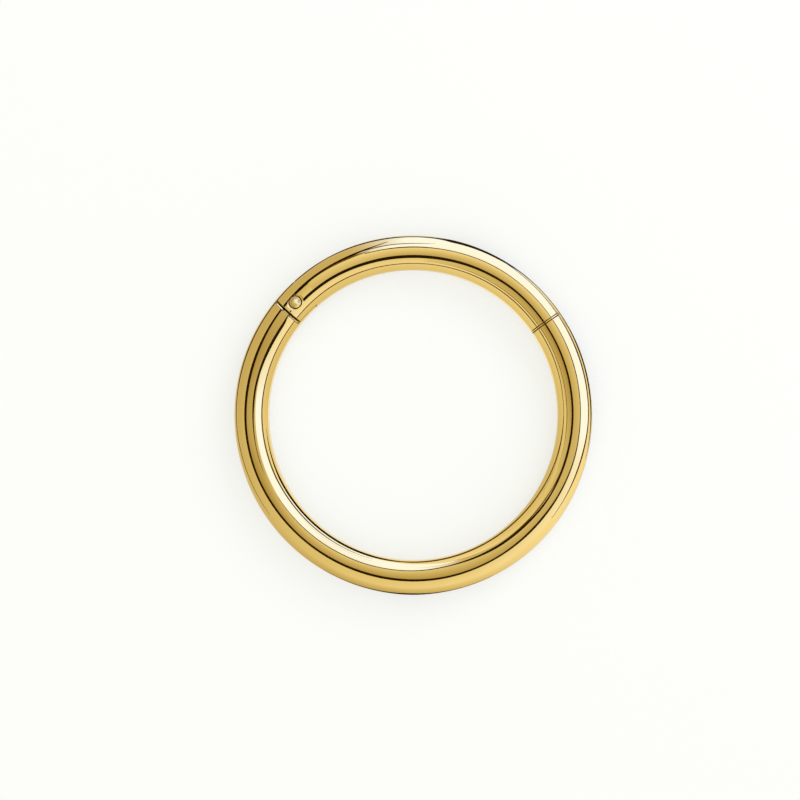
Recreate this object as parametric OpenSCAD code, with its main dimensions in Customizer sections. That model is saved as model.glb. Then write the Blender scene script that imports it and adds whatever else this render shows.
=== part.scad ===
// Clicker hoop: a closed ring of round polished wire, in two arcs that share a hinge pin.
// The short arc, the gate, swings outwards about the pin and clicks shut at its free end.
// The ring lies flat on its back face, with its axis along +Z and the pin's domed head on top.
// All sizes are in millimetres and all angles in degrees, anticlockwise from +X seen from above.

/* [Wire] */
// Diameter of the round wire
wire_d = 1.2; // [1:0.1:1.6]
// Clear diameter inside the closed ring
inner_d = 10; // [8:1:14]

/* [Hinge] */
// Where the hinge pin stands round the ring
pin_angle = 135.8; // [126:0.2:148]
// Distance along the wire from the pin to the hinge seam
pin_to_seam = 0.39; // [0.36:0.01:0.48]
// Diameter of the hinge pin's shank
pin_d = 0.32; // [0.26:0.02:0.36]
// Diameter of the hinge pin's domed head
head_d = 0.42; // [0.4:0.01:0.44]
// Height of the head's crown above the wire
head_rise = 0.06; // [0.04:0.01:0.08]

/* [Click closure] */
// Where the click seam lies round the ring
click_angle = 35.1; // [26:0.1:44]
// Length of the gate's blade beyond the click seam
blade_length = 0.5; // [0.4:0.05:0.7]

/* [Fits] */
// Gap between pieces that turn or slide on each other
gap = 0.02; // [0.015:0.005:0.03]
// Distance from the click seam to the fine line turned beside it
line_pitch = 0.066; // [0.05:0.002:0.08]
// How far the bevelled lip at the hinge seam reaches from the seam
lip = 0.13; // [0.1:0.01:0.16]

/* [Hidden] */
$fn = 96;

wire_r = wire_d / 2;
ring_r = inner_d / 2 + wire_r;          // from the ring's axis to the middle of the wire
gold = [0.86, 0.68, 0.30];

// The ball about the pin that the rims of the ears and of the tongue turn in.
// It meets the wire's surface in a plane, so the hinge seam looks straight.
knuckle_r = sqrt(pow(pin_to_seam, 2) + pow(wire_r, 2));
nose_drop = 0.05;                       // how far an end's ball nose stays inside its rim
tongue_t = 0.4 * wire_d;                // thickness of the tongue, along the pin
fork_slot_t = tongue_t + 2 * gap;       // width of the slot between the gate's ears
lip_slope = 30;                         // steepness of the lips' bevel, in degrees
reach = deg_along_wire(2 * knuckle_r);  // how far an arc runs past the pin before it is trimmed

pin_r = pin_d / 2;
pin_hold = 0.005;                       // gap round the shank in the ears that grip it
seat_floor = wire_r - 0.06;             // height of the head's seat over the wire's middle
seat_r = head_d / 2 + 0.075;            // radius of the seat where it meets the wire's surface
head_edge = wire_r - 0.03;              // where the head's side turns into its dome
foot_inset = 0.01;                      // how far the shank's foot stays inside the wire

blade_t = wire_d / 3;                   // thickness of the blade, along the ring's axis
blade_depth = 0.25;                     // from the middle of the wire to the blade's inner edge
blade_lead = 0.1;                       // chamfer on the blade's leading corner
blade_step = deg_along_wire(blade_length);
half_seam = deg_along_wire(gap / 2);
line_w = 0.02;                          // width of the fine turned line
line_depth = 0.03;                      // depth of the fine turned line
collar_drop = 0.008;                    // how far the collar beside the seam lies below the wire
edge = 0.012;                           // bevel on the edges at the click seam

clear = 2 * wire_d;                     // a size well outside the wire, for cutting tools
over = 0.05;                            // how far a cutting tool runs outside the wire

// The angle round the ring that a length along the wire's middle spans.
function deg_along_wire(length) = length / ring_r * 180 / PI;

// Puts children at an angle round the ring: x points outwards, y along the wire, z up.
module at_wire(angle) {
    translate([0, 0, wire_r])
        rotate([0, 0, angle])
            translate([ring_r, 0, 0])
                children();
}

// A length of the ring's round wire, from one angle to another.
module wire(from, to) {
    translate([0, 0, wire_r])
        rotate([0, 0, from])
            rotate_extrude(angle = to - from)
                translate([ring_r, 0])
                    circle(r = wire_r);
}

// A flat layer of thickness t through the middle of the wire.
module layer(t) {
    cube([clear, clear, t], center = true);
}

// Puts children in the plane of the hinge seam on one side of the pin: side is 1 for the
// fixed arc's side and -1 for the gate's.
module at_hinge_seam(side) {
    at_wire(pin_angle)
        rotate([0, 0, side * deg_along_wire(pin_to_seam) / 2])
            translate([0, side * pin_to_seam, 0])
                children();
}

// All that lies past an arc's end at the pin. The end is a flat rim with a ball nose.
module beyond_rim(side) {
    difference() {
        at_hinge_seam(side)
            translate([0, side * clear / 2, 0])
                cube([clear, clear, clear], center = true);
        at_wire(pin_angle)
            sphere(r = knuckle_r - nose_drop);
    }
}

// The ball-shaped cup that an arc's end turns in.
module cup() {
    at_wire(pin_angle)
        sphere(r = knuckle_r + gap);
}

// Turns a flat profile round the wire. Its x is the distance from the wire's middle
// and its y runs along the wire, to the side given.
module round_wire(side) {
    rotate([-90 * side, 0, 0])
        rotate_extrude()
            children();
}

// The bevel that takes the sharp edge off a cup's lip, right round the wire.
module lip_bevel(side) {
    at_hinge_seam(side)
        round_wire(side)
            polygon([
                [wire_r + over, lip + over / tan(lip_slope)],
                [wire_r - (lip + over) * tan(lip_slope), -over],
                [wire_r + over, -over]
            ]);
}

// The edges of the click seam, and the collar and the fine line beside it on the fixed arc.
module click_edges() {
    at_wire(click_angle)
        round_wire(-1)
            polygon([
                [wire_r + over, -gap / 2 - edge - over],
                [wire_r - edge, -gap / 2],
                [wire_r - edge, gap / 2],
                [wire_r - collar_drop, gap / 2 + edge - collar_drop],
                [wire_r - collar_drop, line_pitch - line_w / 2],
                [wire_r - line_depth, line_pitch - line_w / 2],
                [wire_r - line_depth, line_pitch + line_w / 2],
                [wire_r - edge, line_pitch + line_w / 2],
                [wire_r + over, line_pitch + line_w / 2 + edge + over]
            ]);
}

// The room of the blade, grown by slack on every side but its outer one.
module blade_room(slack) {
    from = click_angle - blade_step - deg_along_wire(slack);
    to = click_angle + blade_step;
    translate([0, 0, wire_r])
        rotate([0, 0, from])
            rotate_extrude(angle = to - from)
                translate([ring_r - blade_depth - slack, -blade_t / 2 - slack])
                    square([clear, blade_t + 2 * slack]);
}

// All that lies past the gate's free end, which is a flat face and a blade with one corner cut.
module beyond_click() {
    difference() {
        at_wire(click_angle)
            translate([0, -clear / 2 + gap / 2, 0])
                cube([clear, clear, clear], center = true);
        blade_room(0);
    }
    at_wire(click_angle - blade_step)
        translate([-blade_depth, 0, 0])
            rotate([0, 0, 45])
                cube([blade_lead * sqrt(2), blade_lead * sqrt(2), clear], center = true);
}

// The dish that the pin's head sits in, sunk in the front ear.
module head_seat() {
    translate([0, 0, seat_floor])
        cylinder(h = wire_r - seat_floor, r1 = head_d / 2 + gap / 2, r2 = seat_r);
    translate([0, 0, wire_r])
        cylinder(h = clear, r = seat_r);
}

// The long arc, with the hinge tongue at one end and the blade's slot at the other.
module fixed_arc() {
    color(gold)
        difference() {
            wire(pin_angle - reach, 360 + click_angle - half_seam);
            beyond_rim(-1);
            difference() {
                union() {
                    cup();
                    lip_bevel(1);
                }
                at_wire(pin_angle)
                    layer(tongue_t);
            }
            at_wire(pin_angle)
                cylinder(h = clear, r = pin_r + gap, center = true);
            blade_room(gap);
            click_edges();
        }
}

// The short swinging arc, with two ears at the hinge and the click blade at its free end.
module gate_arc() {
    color(gold)
        difference() {
            wire(click_angle - blade_step, pin_angle + reach);
            beyond_rim(1);
            intersection() {
                union() {
                    cup();
                    lip_bevel(-1);
                }
                at_wire(pin_angle)
                    layer(fork_slot_t);
            }
            at_wire(pin_angle) {
                cylinder(h = clear, r = pin_r + pin_hold, center = true);
                head_seat();
            }
            beyond_click();
            difference() {
                click_edges();
                blade_room(0);
            }
        }
}

// The rivet that the gate turns on, with a domed head in the front ear.
module hinge_pin() {
    crown = wire_r + head_rise;
    dome_h = crown - head_edge;
    dome_r = (pow(head_d / 2, 2) + pow(dome_h, 2)) / (2 * dome_h);
    head_bottom = seat_floor + pin_hold;
    color(gold)
        at_wire(pin_angle) {
            translate([0, 0, -wire_r + foot_inset])
                cylinder(h = wire_r - foot_inset + head_edge, r = pin_r);
            intersection() {
                translate([0, 0, crown - dome_r])
                    sphere(r = dome_r);
                translate([0, 0, head_bottom])
                    cylinder(h = clear, r = head_d / 2);
            }
        }
}

fixed_arc();
gate_arc();
hinge_pin();
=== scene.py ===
import math

import bmesh
import bpy
from mathutils import Matrix, Vector


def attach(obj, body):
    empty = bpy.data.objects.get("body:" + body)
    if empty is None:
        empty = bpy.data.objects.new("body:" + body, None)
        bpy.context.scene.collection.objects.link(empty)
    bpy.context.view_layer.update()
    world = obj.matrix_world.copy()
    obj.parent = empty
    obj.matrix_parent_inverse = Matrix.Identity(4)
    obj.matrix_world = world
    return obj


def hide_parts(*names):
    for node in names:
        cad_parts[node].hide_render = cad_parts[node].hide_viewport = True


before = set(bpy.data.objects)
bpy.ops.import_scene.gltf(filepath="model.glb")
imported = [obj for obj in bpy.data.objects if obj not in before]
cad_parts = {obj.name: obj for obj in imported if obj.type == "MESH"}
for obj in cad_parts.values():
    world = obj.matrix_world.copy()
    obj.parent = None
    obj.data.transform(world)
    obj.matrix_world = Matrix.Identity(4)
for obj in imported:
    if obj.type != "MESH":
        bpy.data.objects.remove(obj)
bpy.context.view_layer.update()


# The long arc. A length of 1.2 mm surgical steel wire, bent round a 10 mm mandrel. One end is
# milled to a flat tongue for the hinge, and the other is slotted for the gate's blade. It is
# polished and then plated with gold in a vacuum. Sizes are in millimetres, angles in degrees.
MM = 0.001                                        # in metres, the frame's unit
WIRE_R = 0.6
RING_R = 5.6                                      # from the ring's axis to the wire's middle
SIDES = 64                                        # facets round the wire
FACET_STEP = 1.5                                  # their length, in degrees round the ring
SAME_POINT = 2e-5                                 # points closer than this are merged

PIN_ANGLE = 135.8
CLICK_ANGLE = 35.1
PIN_TO_SEAM = 0.39
GAP = 0.02                                        # between pieces that turn or slide
KNUCKLE_R = math.hypot(PIN_TO_SEAM, WIRE_R)       # the ball round the pin that reaches the seam
NOSE_R = KNUCKLE_R - 0.03
CUP_R = KNUCKLE_R + GAP
TONGUE_T = 0.48
BORE_R = 0.18
BLADE_LENGTH = 0.5
BLADE_T = 0.4
BLADE_DEPTH = 0.25                                # from the wire's middle to its inner edge
CLEAR = 1                                         # a size outside the wire, for cutting tools


def degrees_along(length):
    """The angle round the ring that a length along the wire spans."""
    return math.degrees(length / RING_R)


def on_wire(angle):
    """The frame at an angle round the ring: x outwards, y along the wire, z up."""
    return (Matrix.Rotation(math.radians(angle), 4, "Z")
            @ Matrix.Translation((RING_R, 0, WIRE_R)))


def hinge_seam(side):
    """The plane of the hinge seam, 1 for the long arc's side of the pin and -1 for the gate's.
    Its y points away from the pin."""
    half = math.radians(side * degrees_along(PIN_TO_SEAM) / 2)
    turn = Matrix.Rotation(half if side > 0 else half + math.pi, 4, "Z")
    return on_wire(PIN_ANGLE) @ turn @ Matrix.Translation((0, PIN_TO_SEAM, 0))


def middle_of_wire(point):
    """The place on the wire's middle line that lies nearest to a point."""
    middle = Vector((point.x, point.y, 0)).normalized() * RING_R
    middle.z = WIRE_R
    return middle


POLISHED, MACHINED_SHADED, PAINTED_SHADE, SATIN = range(4)   # the finishes' numbers on a mesh


def finish_at(point):
    """The finish at a point, by its depth under the wire's surface: the satin collars lie just
    under the polish, then come the edges of the seams, painted dark as painted shade, and the
    machined walls inside, whose brown is partly painted shade."""
    depth = WIRE_R - (point - middle_of_wire(point)).length
    if depth < 0.004:
        return POLISHED
    if depth < 0.0095:
        return SATIN
    # The band just under the surface is painted shade: the seams' edges are coloured dark where
    # shade falls.
    return PAINTED_SHADE if depth < 0.04 else MACHINED_SHADED


def turned(bm, outline, place):
    """Turns an outline of (distance from the axis, place along the axis) about place's y."""
    points = [bm.verts.new(place @ Vector((r, y, 0))) for r, y in outline]
    edges = [bm.edges.new(pair) for pair in zip(points, points[1:])]
    bmesh.ops.spin(bm, geom=points + edges, cent=place.translation,
                   axis=place.to_3x3() @ Vector((0, 1, 0)), angle=math.tau,
                   steps=SIDES, use_merge=True)
    bmesh.ops.remove_doubles(bm, verts=bm.verts, dist=SAME_POINT)


def open_loops(bm, point):
    """The loops of open edges, the one whose middle lies nearest to a point first."""
    loops, left = [], dict.fromkeys(edge for edge in bm.edges if edge.is_boundary)
    while left:
        loop, reached = [], [left.popitem()[0]]
        while reached:
            edge = reached.pop()
            loop.append(edge)
            for other in (other for vert in edge.verts for other in vert.link_edges):
                if other in left:
                    del left[other]
                    reached.append(other)
        loops.append(loop)

    def distance(loop):
        middle = sum(((e.verts[0].co + e.verts[1].co) / 2 for e in loop), Vector())
        return (middle / len(loop) - point).length
    return sorted(loops, key=distance)


def wire_length(start, stop, ends):
    """Round wire from one angle to another, with a turned end bridged on at each side.
    Each end is (outline, frame); its first point joins the wire."""
    bm = bmesh.new()
    ring = bmesh.ops.create_circle(bm, segments=SIDES, radius=WIRE_R,
                                   matrix=on_wire(start) @ Matrix.Rotation(math.pi / 2, 4, "X"))
    bmesh.ops.spin(bm, geom=ring["verts"] + bm.edges[:], cent=(0, 0, 0), axis=(0, 0, 1),
                   angle=math.radians(stop - start), steps=round((stop - start) / FACET_STEP))
    for angle, (outline, place) in zip((start, stop), ends):
        turned(bm, outline, place)
        wire_edge, end_edge = open_loops(bm, on_wire(angle).translation)[:2]
        bmesh.ops.bridge_loops(bm, edges=wire_edge + end_edge)
    bmesh.ops.recalc_face_normals(bm, faces=bm.faces)
    for face in bm.faces:
        face.material_index = finish_at(face.calc_center_median())
    return bm


def as_object(bm, name, slots=0):
    """A mesh as an object, with empty material slots."""
    mesh = bpy.data.meshes.new(name)
    bm.to_mesh(mesh)
    bm.free()
    for _ in range(slots):
        mesh.materials.append(None)
    obj = bpy.data.objects.new(name, mesh)
    bpy.context.scene.collection.objects.link(obj)
    return obj


def shaped(obj, tools, how="DIFFERENCE"):
    """Cuts the tools out of a piece, or joins them on, and throws the tools away. A tool with
    no finishes of its own leaves machined walls, painted brown partly as painted shade."""
    for tool in (tool for tool in tools if not tool.data.materials):
        for _ in obj.data.materials:
            tool.data.materials.append(None)
        tool.data.polygons.foreach_set("material_index", [MACHINED_SHADED] * len(tool.data.polygons))
    for tool in tools:
        step = obj.modifiers.new("shape", "BOOLEAN")
        step.operation, step.solver, step.object = how, "MANIFOLD", tool
        step.material_mode = "INDEX"
    made = bpy.data.meshes.new_from_object(
        obj.evaluated_get(bpy.context.evaluated_depsgraph_get()))
    obj.modifiers.clear()
    obj.data = made
    for tool in tools:
        bpy.data.objects.remove(tool)


def rounded(start, end, steps=6):
    """An outline that leaves start along the wire and rolls over to meet end square."""
    (r0, y0), (r1, y1) = start, end
    turns = [math.pi / 2 * k / steps for k in range(steps + 1)]
    return [(r1 + (r0 - r1) * math.cos(t), y0 + (y1 - y0) * math.sin(t)) for t in turns]


def knuckle_end():
    """A rolled rim and, inside it, the ball nose that turns in the other arc's cup."""
    rim = [(WIRE_R, -0.05)] + rounded((WIRE_R, -0.022), (WIRE_R - 0.012, 0))
    nose_start = math.acos(PIN_TO_SEAM / NOSE_R)
    ball = [(NOSE_R * math.sin(a), NOSE_R * math.cos(a) - PIN_TO_SEAM)
            for a in (nose_start * k / 24 for k in range(24, -1, -1))]
    return rim + ball


def cup_tool(name, side, low, high, lip):
    """The room of the cup, between two heights over the wire's middle. The lip's outline goes
    on from the cup's ball, and its first stretch is the bevel."""
    place = hinge_seam(side)
    edge = math.atan2(lip[0][0], lip[0][1] + PIN_TO_SEAM)
    ball = [(CUP_R * math.sin(a), CUP_R * math.cos(a) - PIN_TO_SEAM)
            for a in (edge * k / 32 for k in range(33))]
    outside, past_seam, behind = 0.9, 0.26, -1.3  # the room's reach round the wire
    bm = bmesh.new()
    turned(bm, ball + lip[1:] + [(outside, past_seam), (outside, behind), (0, behind)], place)
    bmesh.ops.recalc_face_normals(bm, faces=bm.faces)
    for height, normal in ((low, -1), (high, 1)):
        bmesh.ops.bisect_plane(bm, geom=bm.verts[:] + bm.edges[:] + bm.faces[:], dist=1e-6,
                               plane_co=(0, 0, WIRE_R + height), plane_no=(0, 0, normal),
                               clear_outer=True)
        bmesh.ops.holes_fill(bm, edges=[e for e in bm.edges if e.is_boundary])
    bmesh.ops.recalc_face_normals(bm, faces=bm.faces)
    for face in bm.faces:
        middle = face.calc_center_median()
        bevel = lip[0][1] < (place.inverted() @ middle).y < lip[1][1]
        face.material_index = SATIN if bevel else finish_at(middle)
    return as_object(bm, name, 4)


def round_bar(name, radius):
    """A bar along the pin's axis, for a bore."""
    bm = bmesh.new()
    bmesh.ops.create_cone(bm, cap_ends=True, segments=64, radius1=radius, radius2=radius,
                          depth=2 * CLEAR, matrix=on_wire(PIN_ANGLE))
    return as_object(bm, name)


def blade_block(name, slack):
    """The room that the click blade takes, with slack on every side but its outer one."""
    start = CLICK_ANGLE - degrees_along(BLADE_LENGTH + slack)
    stop = CLICK_ANGLE + degrees_along(BLADE_LENGTH)
    place = on_wire(start)
    inner, half = -BLADE_DEPTH - slack, BLADE_T / 2 + slack
    bm = bmesh.new()
    corners = [bm.verts.new(place @ Vector(c)) for c in
               ((inner, 0, -half), (CLEAR, 0, -half), (CLEAR, 0, half), (inner, 0, half))]
    face = bm.faces.new(corners)
    bmesh.ops.spin(bm, geom=[face], cent=(0, 0, 0), axis=(0, 0, 1),
                   angle=math.radians(stop - start), steps=24)
    bmesh.ops.recalc_face_normals(bm, faces=bm.faces)
    return as_object(bm, name)


# Beside the click seam the wire rolls down to a fine turned line, and past that stands a narrow
# collar. Each point is (depth under the wire, distance from the seam). The real line is about
# 0.02 wide, and is drawn a little wider so that it shows. Its walls lie deep enough to take the
# painted shade of the seams, which makes it a dark hairline.
roll = [(0.014 * ((0.14 - y) / 0.06) ** 2.2, y) for y in (0.14, 0.13, 0.12, 0.11, 0.10, 0.09)]
fine_line = [(0.013, 0.083), (0.022, 0.081), (0.034, 0.0805), (0.034, 0.0525), (0.020, 0.052),
             (0.010, 0.051)]
collar = [(0.007, 0.046), (0.0068, 0.033), (0.007, 0.022), (0.010, 0.0155), (0.018, 0.0125),
          (0.03, 0.012)]
click_outline = [(WIRE_R - depth, -y) for depth, y in [(0, 0.16)] + roll + fine_line + collar]
FACE_R = 0.3                                      # a ring of points inside a flat end face
click_end = (click_outline + [(FACE_R, -GAP / 2), (0, -GAP / 2)], on_wire(CLICK_ANGLE))
tongue_end = (knuckle_end(), hinge_seam(-1))
KNUCKLE_REACH, COLLAR_REACH = 0.06, 0.175         # where the plain wire gives way to an end
start = PIN_ANGLE - degrees_along(PIN_TO_SEAM) + degrees_along(KNUCKLE_REACH)
stop = 360 + CLICK_ANGLE - degrees_along(COLLAR_REACH)
long_arc = as_object(wire_length(start, stop, (tongue_end, click_end)), "long_arc", 4)

# The lip of the cup: a bright bevel, a narrow land, and a fine line with rolled edges. Each
# point is (distance from the wire's middle, distance from the seam).
lip = [(0.5714, 0.0733), (0.5972, 0.108), (0.590, 0.1085), (0.575, 0.1095), (0.575, 0.1195),
       (0.590, 0.1205), (0.5945, 0.122), (0.5965, 0.127), (0.612, 0.129), (0.66, 0.26)]
shaped(long_arc, [
    cup_tool("cup_top", 1, TONGUE_T / 2, 2 * CLEAR, lip),
    cup_tool("cup_bottom", 1, -2 * CLEAR, -TONGUE_T / 2, lip),
    round_bar("bore", BORE_R),
    blade_block("slot", GAP),
])


def linear(hex_colour):
    """An sRGB hex colour as the linear colour that a shader's socket takes."""
    parts = [int(hex_colour[i:i + 2], 16) / 255 for i in (1, 3, 5)]
    return [p / 12.92 if p <= 0.04045 else ((p + 0.055) / 1.055) ** 2.4 for p in parts] + [1]


def add(tree, kind, settings=None, **sockets):
    """Adds one node, with its settings, and sets or links its inputs by name. An input named
    in_0 or in_1 is the first or second, for nodes whose inputs share a name."""
    node = tree.nodes.new(kind)
    for key, value in (settings or {}).items():
        setattr(node, key, value)
    for key, value in sockets.items():
        socket = node.inputs[int(key[3:]) if key.startswith("in_") else key.replace("_", " ")]
        if isinstance(value, bpy.types.NodeSocket):
            tree.links.new(value, socket)
        else:
            socket.default_value = value
    return node


def gold_finish(name, colour, worn, roughness, lines, relief, rim="#FFFFFF"):
    """Gold plate whose polishing or turning lines run along the wire. Lines is their spacing
    and relief their height. The plate is a little uneven, from colour to worn."""
    material = bpy.data.materials.new(name)
    material.use_nodes = True
    tree = material.node_tree
    shader = tree.nodes["Principled BSDF"]
    shader.inputs["Metallic"].default_value = 1
    shader.inputs["Specular Tint"].default_value = linear(rim)
    where = add(tree, "ShaderNodeTexCoord").outputs["Object"]
    parts = add(tree, "ShaderNodeSeparateXYZ", Vector=where).outputs
    flat = add(tree, "ShaderNodeVectorMath", {"operation": "MULTIPLY"}, in_0=where, in_1=(1, 1, 0))
    from_axis = add(tree, "ShaderNodeVectorMath", {"operation": "LENGTH"}, in_0=flat.outputs[0])
    slow = add(tree, "ShaderNodeMath", {"operation": "MULTIPLY"}, in_0=parts["X"], in_1=0.02)
    along = add(tree, "ShaderNodeCombineXYZ", X=from_axis.outputs["Value"], Y=parts["Z"],
                Z=slow.outputs[0])
    hairs = add(tree, "ShaderNodeTexNoise", Vector=along.outputs[0], Scale=1 / (lines * MM),
                Detail=2.0).outputs["Fac"]
    cloud = add(tree, "ShaderNodeTexNoise", Vector=where, Scale=1 / (1.5 * MM), Detail=1.0)
    tint = add(tree, "ShaderNodeMix", {"data_type": "RGBA"}, Factor=cloud.outputs["Fac"],
               in_6=linear(colour), in_7=linear(worn))
    tree.links.new(tint.outputs[2], shader.inputs["Base Color"])
    spread = add(tree, "ShaderNodeMapRange", Value=hairs, To_Min=roughness[0],
                 To_Max=roughness[1])
    tree.links.new(spread.outputs[0], shader.inputs["Roughness"])
    bump = add(tree, "ShaderNodeBump", Height=hairs, Strength=1.0, Distance=relief * MM)
    tree.links.new(bump.outputs[0], shader.inputs["Normal"])
    return material


# The finishes of the plate. The real lines are a few thousandths of a millimetre apart, and
# are drawn 0.03 to 0.05 apart so that they show.
wire_finishes = [
    # Gold plate on mirror-polished steel: clean reflections, with the faintest hairs in them.
    gold_finish("mirror_polished_gold", "#FFE08C", "#FDDC86", (0.04, 0.09), 0.05, 0.00004),
    # The same plate on milled and bored walls: dull, because nothing polishes it, and painted
    # brown, partly as painted shade that darkens the gaps and hollows.
    gold_finish("machined_and_shaded_gold", "#B08C50", "#9C7840", (0.26, 0.36), 0.03, 0.0006),
    # The sharp corners of the seams and the floor of the pin's dish, painted dark brown with a dark
    # tint in the reflection as well: painted shade, where the seams and the dish fall into shade,
    # which shows as a brown hairline.
    gold_finish("painted_shade_gold", "#6A420E", "#5A360A", (0.3, 0.4), 0.03, 0.0006, "#6A420E"),
    # The turned collar and the bevelled lip, brushed round: a soft pale sheen.
    gold_finish("satin_gold", "#FFDE84", "#FBD87C", (0.16, 0.24), 0.03, 0.0004),
]


SHARP = math.radians(24)                          # an edge that turns more than this is crisp
ON_SURFACE = 1.3e-3                               # how near the surface a facet's corner lies


def finish_arc(obj):
    """Gives an arc the true roundness of its wire, its size in metres and its finishes."""
    mesh = obj.data
    mesh.name = obj.name
    for number, material in enumerate(wire_finishes):
        mesh.materials[number] = material
    mesh.polygons.foreach_set("use_smooth", [True] * len(mesh.polygons))
    mesh.set_sharp_from_angle(angle=SHARP)
    normals = [Vector(corner.vector) for corner in mesh.corner_normals]
    for face in (face for face in mesh.polygons if face.material_index == POLISHED):
        for corner in face.loop_indices:
            point = mesh.vertices[mesh.loops[corner].vertex_index].co
            outwards = point - middle_of_wire(point)
            if abs(outwards.length - WIRE_R) < ON_SURFACE:
                normals[corner] = outwards.normalized()
    mesh.transform(Matrix.Scale(MM, 4))
    mesh.normals_split_custom_set(normals)
    mesh.update()


finish_arc(long_arc)
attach(long_arc, "fixed")
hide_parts("fixed_arc")


# The gate. A short length of the same wire, with two ears that hold the pin at its hinge end
# and, at the other, a milled blade that clicks into the long arc's slot. It is plated with the
# long arc, and swings outwards.
FORK_SLOT_T = TONGUE_T + 2 * GAP
PIN_HOLE_R = 0.165
BLADE_LEAD = 0.1                                  # the cut on the blade's leading corner
RIM_REACH = 0.08                                  # where the plain wire gives way to the rim
DISH_RIM = 0.56                                   # over the wire's middle

gate_rim = [(WIRE_R, -0.065)] + rounded((WIRE_R, -0.05), (WIRE_R - 0.02, -GAP / 2))
gate_end = ([(r, -y) for r, y in gate_rim] + [(FACE_R, GAP / 2), (0, GAP / 2)],
            on_wire(CLICK_ANGLE))
start = CLICK_ANGLE + degrees_along(RIM_REACH)
stop = PIN_ANGLE + degrees_along(PIN_TO_SEAM) - degrees_along(KNUCKLE_REACH)
ear_end = (knuckle_end(), hinge_seam(1))
gate = as_object(wire_length(start, stop, (gate_end, ear_end)), "gate", 4)


def flat_end(angle, way):
    """A plain cut across the wire that faces way: -1 back along it, or 1 forwards."""
    return [(WIRE_R, -way * 0.001), (FACE_R, 0), (0, 0)], on_wire(angle)


def blade():
    """The blade: what the wire shares with the blade's room, less its leading corner."""
    tip = CLICK_ANGLE - degrees_along(BLADE_LENGTH)
    root = CLICK_ANGLE + degrees_along(RIM_REACH)
    step = degrees_along(0.01)
    ends = (flat_end(tip, -1), flat_end(CLICK_ANGLE + degrees_along(RIM_REACH + 0.01), 1))
    piece = as_object(wire_length(tip + step, root, ends), "blade", 4)
    shaped(piece, [blade_block("blade_room", 0)], "INTERSECT")
    bm = bmesh.new()
    bmesh.ops.create_cube(bm, size=1, matrix=on_wire(tip)
                          @ Matrix.Translation((-BLADE_DEPTH, 0, 0))
                          @ Matrix.Rotation(math.pi / 4, 4, "Z")
                          @ Matrix.Diagonal((BLADE_LEAD * 2 ** 0.5, BLADE_LEAD * 2 ** 0.5,
                                             2 * CLEAR, 1)))
    shaped(piece, [as_object(bm, "lead")])
    return piece


def dish():
    """The dish that the pin's head sits in, with a satin rim. Below the rim it takes the dark
    finish: painted shade round the pin's head.
    """
    bm = bmesh.new()
    turned(bm, [(0, 0.525), (0.214, 0.525), (0.22, 0.545), (0.238, 0.558), (0.25, 0.566),
                (0.315, 0.597), (0.33, 0.61), (0.34, 0.64), (0.34, 1.2), (0, 1.2)],
           on_wire(PIN_ANGLE) @ Matrix.Rotation(math.pi / 2, 4, "X"))
    bmesh.ops.recalc_face_normals(bm, faces=bm.faces)
    for face in bm.faces:
        rim = face.calc_center_median().z > WIRE_R + DISH_RIM
        # Below the rim: painted shade, a dark ring round the rivet's head.
        face.material_index = SATIN if rim else PAINTED_SHADE
    return as_object(bm, "dish", 4)


shaped(gate, [blade()], "UNION")
shaped(gate, [
    cup_tool("fork", -1, -FORK_SLOT_T / 2, FORK_SLOT_T / 2, [(0.5895, 0.05), (0.66, 0.09)]),
    round_bar("pin_hole", PIN_HOLE_R),
    dish(),
])
finish_arc(gate)
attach(gate, "gate")
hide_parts("gate_arc")


# The hinge pin. A turned steel rivet, plated like the wire and pressed through both ears. The
# press leaves its domed head burnished, so that it shows one broad soft highlight.
SHANK_R = 0.16
HEAD_R = 0.2
DOME_R, DOME_RISE = 0.192, 0.07                   # the dome's rim and its height over it
CROWN = 0.66                                      # its top, over the wire's middle
ROLLED = math.radians(35)                         # its edges are softer than the arcs'

ball_r = (DOME_R ** 2 + DOME_RISE ** 2) / (2 * DOME_RISE)
dome = [(ball_r * math.sin(a), CROWN - ball_r + ball_r * math.cos(a))
        for a in (math.asin(DOME_R / ball_r) * k / 16 for k in range(16, -1, -1))]
shank = [(0, -0.59), (SHANK_R - 0.01, -0.59), (SHANK_R, -0.58), (SHANK_R, 0.545)]
head = [(0.19, 0.545), (0.199, 0.55), (HEAD_R, 0.56), (HEAD_R, 0.576), (0.197, 0.585)]
bm = bmesh.new()
turned(bm, shank + head + dome, on_wire(PIN_ANGLE) @ Matrix.Rotation(math.pi / 2, 4, "X"))
bmesh.ops.recalc_face_normals(bm, faces=bm.faces)
hinge_rivet = as_object(bm, "hinge_rivet")
mesh = hinge_rivet.data

# Gold plate on a burnished rivet head: its highlight is broad and blurred
riveted_gold = gold_finish("riveted_gold", "#FFDF88", "#FCDA80", (0.36, 0.44), 0.03, 0.0004)
mesh.materials.append(riveted_gold)
mesh.polygons.foreach_set("use_smooth", [True] * len(mesh.polygons))
mesh.set_sharp_from_angle(angle=ROLLED)
mesh.transform(Matrix.Scale(MM, 4))
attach(hinge_rivet, "gate")
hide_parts("hinge_pin")


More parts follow.
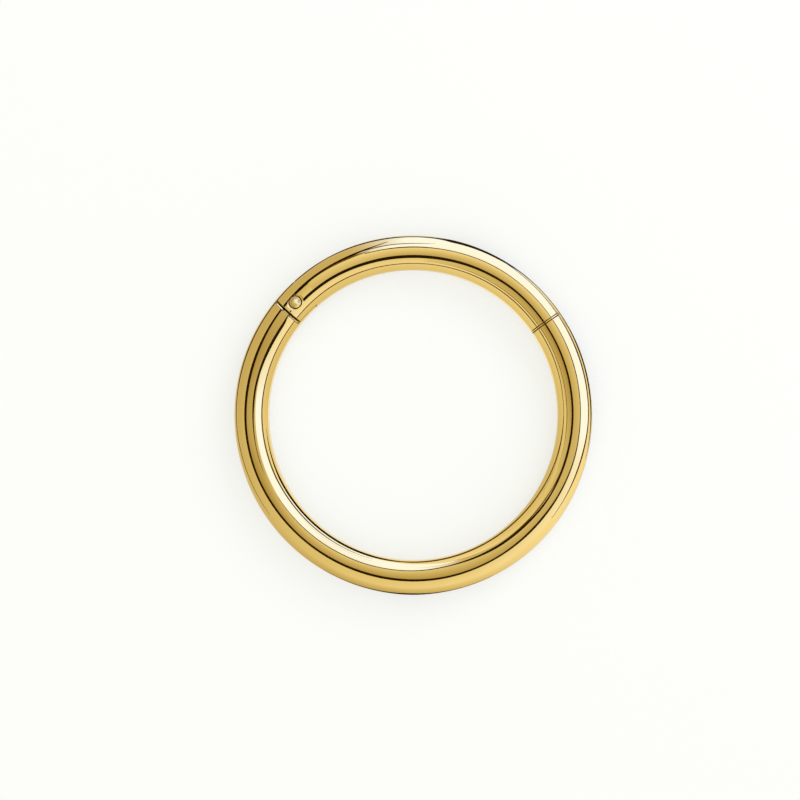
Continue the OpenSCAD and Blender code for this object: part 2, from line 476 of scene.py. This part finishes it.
# The camera looks almost straight down, through a long lens, from 20 cm over the hoop. The
# hoop's axis leans 6 degrees from the line of sight.
TILT, TOWARDS = math.radians(6), math.radians(11)
DISTANCE = 200
PIXELS_PER_MM, FRAME_PIXELS = 28.98, 800
RING_PIXEL = (412.81, 415.34)                     # where the ring's middle shows in the frame
view = Vector((math.sin(TILT) * math.cos(TOWARDS), math.sin(TILT) * math.sin(TOWARDS),
               math.cos(TILT)))
right = Vector((0, 1, 0)).cross(view).normalized()
up = view.cross(right)
aim = (Vector((0, 0, WIRE_R)) - right * ((RING_PIXEL[0] - FRAME_PIXELS / 2) / PIXELS_PER_MM)
       + up * ((RING_PIXEL[1] - FRAME_PIXELS / 2) / PIXELS_PER_MM))
eye = aim + view * DISTANCE
camera = bpy.data.objects.new("camera", bpy.data.cameras.new("camera"))
bpy.context.scene.collection.objects.link(camera)
bpy.context.scene.camera = camera
camera.matrix_world = (Matrix.Translation(eye * MM)
                       @ Matrix((right, up, view)).transposed().to_4x4())
camera.data.sensor_width = 36
camera.data.lens = camera.data.sensor_width * DISTANCE * PIXELS_PER_MM / FRAME_PIXELS
camera.data.clip_start, camera.data.clip_end = 0.01, 5
bpy.context.scene.view_settings.view_transform = "Standard"


# The light tent. Its cloth is pale, and warmer and darker on the left. The tones of all the
# studio's cards go the same way, from dark brown through warm grey to white.
TONES = ((0.00, "#0B0401"), (0.20, "#3E1E03"), (0.33, "#56400A"), (0.54, "#8C7440"),
         (0.71, "#B6A77F"), (0.75, "#C0B698"), (0.80, "#CCC4AD"), (0.886, "#E2DECD"),
         (0.93, "#EDEBEB"), (1.00, "#FFFFFF"))
CLOTH_TONE = 0.885
CLOTH_LEAN = (0.085, -0.055, 0)                   # how much its tone rises each way


def tone_ramp(tree, tone):
    """The colour of a tone, from 0 for the darkest to 1 for white."""
    ramp = add(tree, "ShaderNodeValToRGB", Fac=tone)
    stops = ramp.color_ramp.elements
    for (place, colour), stop in zip(TONES, list(stops) + [stops.new(p) for p, c in TONES[2:]]):
        stop.position, stop.color = place, linear(colour)
    return ramp.outputs["Color"]


world = bpy.data.worlds.new("tent")
bpy.context.scene.world = world
world.use_nodes = True
tree = world.node_tree
tree.nodes.clear()
where = add(tree, "ShaderNodeTexCoord").outputs["Generated"]
side = add(tree, "ShaderNodeVectorMath", {"operation": "DOT_PRODUCT"}, in_0=where,
           in_1=CLOTH_LEAN)
tone = add(tree, "ShaderNodeMath", {"operation": "ADD"}, in_0=side.outputs["Value"],
           in_1=CLOTH_TONE)
cloth = add(tree, "ShaderNodeBackground", Color=tone_ramp(tree, tone.outputs[0]), Strength=1.0)
add(tree, "ShaderNodeOutputWorld", Surface=cloth.outputs[0])


# The threads. Black and brown threads hang round the hoop, and their reflections are the dark
# streaks that tell the wire's roundness. The camera sees only those reflections. Each thread
# is placed by the line that it shows in the wire.
OVER = 0.8                                        # how far the two longest are from the wire
APART = 2.0                                       # and the faint ones, which are short
BROWN, DARK_BROWN, BLACK_BROWN, BLACK = 0.42, 0.33, 0.08, 0.05


def glow(name):
    """A surface as bright and as warm as the tone painted on it."""
    material = bpy.data.materials.new(name)
    material.use_nodes = True
    tree = material.node_tree
    tree.nodes.clear()
    tone = add(tree, "ShaderNodeAttribute", {"attribute_name": "tone"})
    light = add(tree, "ShaderNodeEmission", Color=tone_ramp(tree, tone.outputs["Fac"]),
                Strength=1.0)
    add(tree, "ShaderNodeOutputMaterial", Surface=light.outputs[0])
    material.cycles.emission_sampling = "NONE"
    return material


def studio_piece(bm, name, finish, unit=MM):
    """A thread, card or panel that shows only in reflections."""
    obj = as_object(bm, name)
    obj.data.transform(Matrix.Scale(unit, 4))
    obj.data.materials.append(finish)
    obj.visible_camera = obj.visible_shadow = obj.visible_diffuse = False


def seen_in_wire(angle, s, distance):
    """The point at a distance from the wire that the camera sees in it at an angle round the
    ring, and at s across it: 1 at the outer edge and -1 at the inner."""
    middle = on_wire(angle).translation
    sight = (eye - middle).normalized()
    along = on_wire(angle).to_3x3() @ Vector((0, 1, 0))
    across = along.cross(sight).normalized()
    towards = (sight - along * sight.dot(along)).normalized()
    normal = across * s + towards * math.sqrt(1 - s * s)
    return middle + normal * WIRE_R + (2 * normal.dot(sight) * normal - sight) * distance


def smooth_table(rows, closed=False, steps=6):
    """Rows of (angle, value, ...) with smooth steps put in between."""
    fine, count = [], len(rows)
    for k in range(count if closed else count - 1):
        near = [rows[(k + j) % count if closed else min(max(k + j, 0), count - 1)]
                for j in (-1, 0, 1, 2)]
        near = [(near[1][0] + (row[0] - near[1][0] + 180) % 360 - 180, *row[1:]) for row in near]
        for n in range(steps):
            t = n / steps
            fine.append([0.5 * (2 * b + (c - a) * t + (2 * a - 5 * b + 4 * c - d) * t * t
                                + (3 * b - a - 3 * c + d) * t ** 3) for a, b, c, d in zip(*near)])
    return fine if closed else fine + [list(rows[-1])]


def thread(name, distance, rows, closed=False, shade=BLACK, finish=None):
    """A thread of (angle, s, width in s) that shows as a line along the wire."""
    bm = bmesh.new()
    tone = bm.verts.layers.float.new("tone")
    loops = []
    for angle, s, width in smooth_table(rows, closed):
        half = max(width, 0.002) / 2
        chord = (seen_in_wire(angle, min(s + half, 0.998), distance)
                 - seen_in_wire(angle, max(s - half, -0.998), distance))
        loops.append(bmesh.ops.create_circle(
            bm, segments=8, radius=chord.length / 2,
            matrix=Matrix.Translation(seen_in_wire(angle, s, distance))
            @ on_wire(angle).to_3x3().to_4x4() @ Matrix.Rotation(math.pi / 2, 4, "X"))["verts"])
    for vert in bm.verts:
        vert[tone] = shade
    for one, other in zip(loops, loops[1:] + loops[:closed]):
        for k in range(8):
            bm.faces.new((one[k], one[k - 1], other[k - 1], other[k]))
    studio_piece(bm, name, finish or glow(name))


inner_line = [
    (193, -.155, .01), (203, -.165, .025), (210, -.19, .03), (217, -.225, .035),
    (240, -.31, .05), (256, -.35, .05), (272, -.39, .05), (284, -.43, .07), (295, -.40, .12),
    (303, -.358, .15), (310, -.315, .12), (318, -.275, .12), (326, -.21, .12),
    (332, -.177, .10), (342, -.170, .14), (360, -.120, .128), (380, -.082, .115),
    (395, -.065, .105), (410, -.053, .125), (425, -.108, .155), (438, -.17, .175),
    (450, -.195, .19), (465, -.18, .185), (480, -.146, .18), (492, -.165, .17), (496.5, -.15, .16),
    (498, -.08, .07), (500.5, -.07, .08), (502, -.12, .11), (505, -.187, .16), (512, -.18, .18),
    (520, -.135, .16), (530, -.072, .145), (545, -.05, .135), (553, -.045, .13), (558, -.055, .123),
    (563, -.075, .10), (570, -.11, .04), (576, -.14, .01)]
outer_line = [
    (98, .745, .03), (102, .64, .055), (106, .575, .09), (112, .52, .12), (120, .503, .10),
    (126, .475, .14), (130, .445, .17), (142, .402, .12), (160, .361, .158), (185, .366, .135),
    (200, .344, .125), (215, .281, .13), (230, .225, .125), (245, .185, .145), (260, .165, .155),
    (280, .169, .135), (300, .159, .11), (318, .170, .13), (332, .229, .10), (345, .29, .07),
    (360, .325, .05), (380, .39, .05), (400, .43, .037), (420, .43, .045), (438, .365, .05),
    (450, .343, .065), (458, .345, .055), (466, .365, .04)]
thread("inner_line", OVER, inner_line)
thread("outer_line", OVER, outer_line)
thread("brown_line", APART, [
    (104, .44, .01), (108, .44, .07), (114, .42, .12), (120, .415, .12), (126, .405, .08),
    (132, .39, .01)], shade=BROWN)
thread("second_line", APART, [
    (298, -.41, .02), (306, -.39, .07), (316, -.375, .07), (322, -.345, .06), (328, -.31, .06),
    (334, -.255, .05), (341, -.225, .01)], shade=DARK_BROWN)
thread("box_line", APART, [
    (82, .62, .01), (86, .565, .03), (92, .55, .045), (98, .553, .05), (103, .54, .06),
    (107, .53, .02)], shade=BROWN)
thread("low_line", 1.5, [
    (-30, -.66, .009), (0, -.633, .03), (20, -.577, .05), (35, -.556, .06), (60, -.554, .06),
    (90, -.597, .04), (120, -.552, .06), (145, -.602, .05), (165, -.587, .06),
    (180, -.576, .07), (200, -.613, .08), (215, -.661, .07), (235, -.703, .05),
    (255, -.724, .012)], shade=DARK_BROWN)
thread("inner_rim", 1.0, [
    (185, -.803, .01), (193, -.80, .05), (203, -.795, .09), (208, -.801, .11), (230, -.845, .115),
    (250, -.869, .115), (262, -.878, .07), (275, -.884, .01)])
thread("inner_rim_right", 1.0, [
    (258, -.876, .01), (270, -.881, .07), (290, -.887, .085), (307, -.87, .08), (317, -.843, .075),
    (325, -.803, .07), (340, -.718, .06), (360, -.632, .04)], shade=0.3)
thread("outer_rim", 0.7, [
    (-14, .925, .009), (0, .935, .055), (10, .948, .07), (20, .962, .065), (35, .988, .07),
    (50, .990, .10), (60, .965, .15), (70, .950, .145), (77, .936, .125), (82, .935, .064),
    (90, .930, .04), (100, .945, .06), (120, .98, .05), (140, .928, .05), (160, .907, .06),
    (180, .896, .031), (195, .838, .032), (215, .75, .015)], shade=BLACK_BROWN)
thread("high_rim", 1.2, [
    (314, .59, .006), (330, .620, .034), (345, .678, .076), (360, .788, .054), (380, .813, .07),
    (395, .833, .04), (410, .879, .03), (422, .94, .026)])
thread("edge_shade", 0.5, [
    (240, .965, .01), (252, .965, .03), (262, .965, .05), (269, .965, .07), (276, .965, .05),
    (285, .96, .02), (297, .955, .01)])
thread("faint_line", APART, [
    (-20, -.47, .005), (0, -.44, .025), (20, -.42, .025), (60, -.43, .025), (85, -.46, .005)])


# The cards. A long one of painted board hangs over the hoop and shades from warm grey to white.
# Two shorter ones shade its inner and outer flanks, and a low one stands inside it. Like the
# threads, they show only in the wire.
def facing(angle, way):
    """How squarely an angle round the ring, in radians, faces a way in degrees: 1 to -1."""
    return math.cos(angle - math.radians(way))


def lobe(angle, way, sharpness):
    """1 where the angle faces the way, and less to both sides of it, down to 0."""
    return max(0, facing(angle, way)) ** sharpness


def card_between(name, distance, inner, outer, tones, span=(0, 360)):
    """A card that fills the room between two lines in the wire, with a tone along each."""
    bm = bmesh.new()
    tone = bm.verts.layers.float.new("tone")
    loops = []
    for rows, shade in zip((inner, outer), tones):
        fine = sorted((row[0] % 360, row[1]) for row in smooth_table(rows, True))
        fine = [(fine[-1][0] - 360, fine[-1][1])] + fine + [(fine[0][0] + 360, fine[0][1])]
        verts = []
        for angle in range(0, 360, 2):
            after = next(n for n, row in enumerate(fine) if row[0] > angle)
            (a0, s0), (a1, s1) = fine[after - 1:after + 1]
            s = s0 + (s1 - s0) * (angle - a0) / (a1 - a0)
            verts.append(bm.verts.new(seen_in_wire(angle, s, distance)))
            verts[-1][tone] = shade(math.radians(angle))
        loops.append(verts)
    for k in (k for k in range(180) if (2 * k - span[0]) % 360 < span[1] - span[0]):
        bm.faces.new((loops[0][k - 1], loops[0][k], loops[1][k], loops[1][k - 1]))
    studio_piece(bm, name, glow(name))


def all_round(s):
    """The line that shows at the same s right round the wire."""
    return [(angle, s) for angle in (0, 120, 240)]


def flank_tone(angle):
    """The tone of the tent's cloth low down, which the card at the outer flank takes up."""
    return 0.885 + 0.082 * math.cos(angle) - 0.053 * math.sin(angle)


card_foot = [row[:2] for row in inner_line[4:24]]
card_foot += [(492, -.167), (508, -.19), (520, -.17), (530, -.19), (545, -.205), (557, -.215),
              (567, -.225), (577, -.24)]
card_edge = [(98, .345), (106, .36), (114, .38), (122, .40), (128, .42)]
card_edge += [row[:2] for row in outer_line[6:-2]]
card_between("over_card", OVER, card_foot, card_edge,
             (lambda a: (0.81 + 0.11 * facing(a, 250) + 0.07 * lobe(a, 120, 8)
                         - 0.06 * lobe(a, 155, 12) - 0.06 * lobe(a, 202, 20)),
              lambda a: (0.825 + 0.16 * facing(a, 75) - 0.15 * lobe(a, 155, 12)
                         - 0.08 * lobe(a, 202, 20))), (141, 489))
card_between("under_card", 2.2, all_round(-.43), all_round(-.10),
             (lambda a: 0.875 - 0.09 * lobe(a, 22, 3),
              lambda a: 0.875 - 0.21 * lobe(a, 22, 3)), (320, 445))
card_between("outer_card", 1.2, all_round(.58), all_round(.975),
             (flank_tone, lambda a: flank_tone(a) - 0.27 * lobe(a, 266, 4)), (204, 326))
card_between("low_card", 2.6, all_round(-.99),
             [(0, -.50), (15, -.53), (30, -.48), (60, -.455), (90, -.46), (120, -.52),
              (150, -.60), (180, -.575), (210, -.65), (240, -.71), (262, -.72), (280, -.70),
              (292, -.62), (305, -.50), (320, -.43), (335, -.42), (347, -.46)],
             (lambda a: (0.80 + 0.03 * facing(a, 100) + 0.12 * lobe(a, 222, 4)
                         + 0.09 * lobe(a, 288, 10)),
              lambda a: (0.90 + 0.11 * lobe(a, 222, 4) + 0.07 * lobe(a, 288, 10)
                         + 0.06 * lobe(a, 65, 2))))


# The softbox: a tall curved panel of white cloth on the right, from overhead to just under the
# horizon, with a thin streak of the same light over the top of the hoop. It is cool, so that
# it shows nearly white in gold.
FAR = 0.12                                        # from the hoop, in metres

# By direction round the hoop: how much light the panel gives low down, how much it gives in
# the streak at its top, and how many degrees it reaches down from overhead
BOX_START, BOX_STOP = -75, 120
BOX_SIDE = ((BOX_START, 0), (-50, .12), (-32, .25), (-18, .55), (-8, 1), (98, 1), (104, .6),
            (112, .12), (118, 0), (BOX_STOP, 0))
BOX_TOP = ((BOX_START, 0), (92, 1), (104, 1), (111, .6), (116, 0))
BOX_FOOT = ((BOX_START, 84), (-25, 88), (-15, 95), (0, 110), (20, 116), (35, 118), (60, 138),
            (BOX_STOP, 138))
STREAK_FROM, STREAK_DOWN = 60, 65                 # where the streak's part of the panel lies


def between(table, place):
    """The value that a table of (place, value) gives at a place."""
    after = next((n for n, row in enumerate(table) if row[0] > place), len(table) - 1)
    (a0, b0), (a1, b1) = table[after - 1:after + 1]
    return b0 + (b1 - b0) * min(1, (place - a0) / (a1 - a0))


box_light = bpy.data.materials.new("softbox")
box_light.use_nodes = True
tree = box_light.node_tree
tree.nodes.clear()
tone = add(tree, "ShaderNodeAttribute", {"attribute_name": "tone"})
light = add(tree, "ShaderNodeEmission", Color=linear("#A2B5FF"), Strength=2.8)
dark = add(tree, "ShaderNodeBsdfTransparent")
mix = add(tree, "ShaderNodeMixShader", Fac=tone.outputs["Fac"], in_1=dark.outputs[0],
          in_2=light.outputs[0])
add(tree, "ShaderNodeOutputMaterial", Surface=mix.outputs[0])
box_light.cycles.emission_sampling = "NONE"

bm = bmesh.new()
tone = bm.verts.layers.float.new("tone")
strip = [bm.verts.new((FAR * math.sin(math.radians(p)), 0, FAR * math.cos(math.radians(p))))
         for p in range(6, 142, 3)]
links = [bm.edges.new(pair) for pair in zip(strip, strip[1:])]
bmesh.ops.rotate(bm, verts=bm.verts, matrix=Matrix.Rotation(math.radians(BOX_START), 3, "Z"))
bmesh.ops.spin(bm, geom=strip + links, cent=(0, 0, 0), axis=(0, 0, 1),
               angle=math.radians(BOX_STOP - BOX_START), steps=78)
for vert in bm.verts:
    turn = math.degrees(math.atan2(vert.co.y, vert.co.x))
    down = math.degrees(vert.co.angle((0, 0, 1)))
    edge = BOX_TOP if turn > STREAK_FROM and down < STREAK_DOWN else BOX_SIDE
    vert[tone] = between(edge, turn) * (down < between(BOX_FOOT, turn))
studio_piece(bm, "softbox", box_light, 1)

# A white edge low inside the hoop, a lamp tube that fills in at the lower left, where the
# panel doesn't reach, and a small lit panel close over the pin for the highlight on its dome
thread("pale_edge", 0.6, [
    (0, -.968, .02), (20, -.966, .05), (45, -.966, .06), (70, -.966, .04), (90, -.968, .01),
    (120, -.968, .02), (160, -.966, .05), (200, -.966, .05), (245, -.966, .05), (280, -.968, .02),
    (320, -.968, .005)], True, shade=1)
thread("fill_light", 2.2, [
    (198, -.62, .01), (206, -.64, .12), (215, -.66, .18), (228, -.70, .20), (245, -.72, .20),
    (262, -.70, .21), (273, -.67, .18), (281, -.63, .10), (288, -.60, .01)], shade=1,
    finish=box_light)
PANEL_SIZE = (0.42, 0.13)                         # half its size across and along the wire
PANEL_HEIGHT = 0.35                               # over the wire
PANEL_SHIFT = -0.12                               # along the wire, from right over the pin
bm = bmesh.new()
tone = bm.verts.layers.float.new("tone")
bmesh.ops.create_circle(bm, cap_ends=True, segments=24, radius=1,
                        matrix=Matrix.Translation(seen_in_wire(PIN_ANGLE, 0, PANEL_HEIGHT))
                        @ on_wire(PIN_ANGLE).to_3x3().to_4x4()
                        @ Matrix.Translation((0, PANEL_SHIFT, 0))
                        @ Matrix.Diagonal((*PANEL_SIZE, 1, 1)))
for vert in bm.verts:
    vert[tone] = 1
studio_piece(bm, "pin_light", box_light)

# A round lamp at the upper right gives the soft shadow. The metal doesn't show it.
KEY_SIDE, KEY_RISE = math.radians(50), 0.7
KEY_SIZE, KEY_WATTS = 0.06, 0.02
key = bpy.data.objects.new("key", bpy.data.lights.new("key", "AREA"))
key.data.shape, key.data.size, key.data.energy = "DISK", KEY_SIZE, KEY_WATTS
key.visible_glossy = False
way = Vector((math.cos(KEY_SIDE), math.sin(KEY_SIDE), KEY_RISE)).normalized()
key.matrix_world = (Matrix.Translation(way * FAR)
                    @ way.to_track_quat("Z", "Y").to_matrix().to_4x4())
bpy.context.scene.collection.objects.link(key)


# The floor: a sheet of white paper on a light table, a little warm. The metal doesn't see it: in
# its place it sees a dark strip right under the wire, a painted shadow of the floor there.
PAPER_HALF = 0.4                                  # half its width, in metres
PAPER_GAP = 0.002                                 # from the paper to the dark strip
bm = bmesh.new()
bmesh.ops.create_grid(bm, x_segments=1, y_segments=1, size=PAPER_HALF)
floor = as_object(bm, "floor")
paper = bpy.data.materials.new("white_paper")
paper.use_nodes = True
shader = paper.node_tree.nodes["Principled BSDF"]
shader.inputs["Base Color"].default_value = linear("#B4B4B2")
shader.inputs["Roughness"].default_value = 0.9
shader.inputs["Specular IOR Level"].default_value = 0
shader.inputs["Emission Color"].default_value = linear("#F9FDFF")
shader.inputs["Emission Strength"].default_value = 0.64
floor.data.materials.append(paper)
floor.visible_glossy = False

# The dark strip under the wire: a painted shadow that stands for the shaded floor, and it shows
# only in the metal.
bm = bmesh.new()
bm.verts.layers.float.new("tone")
half = WIRE_R + 0.02
strip = [bm.verts.new((r, 0, PAPER_GAP)) for r in (RING_R - half, RING_R + half)]
bmesh.ops.spin(bm, geom=strip + [bm.edges.new(strip)], cent=(0, 0, 0), axis=(0, 0, 1),
               angle=math.tau, steps=90, use_merge=True)
studio_piece(bm, "painted_floor_shadow", glow("painted_floor_shadow"))
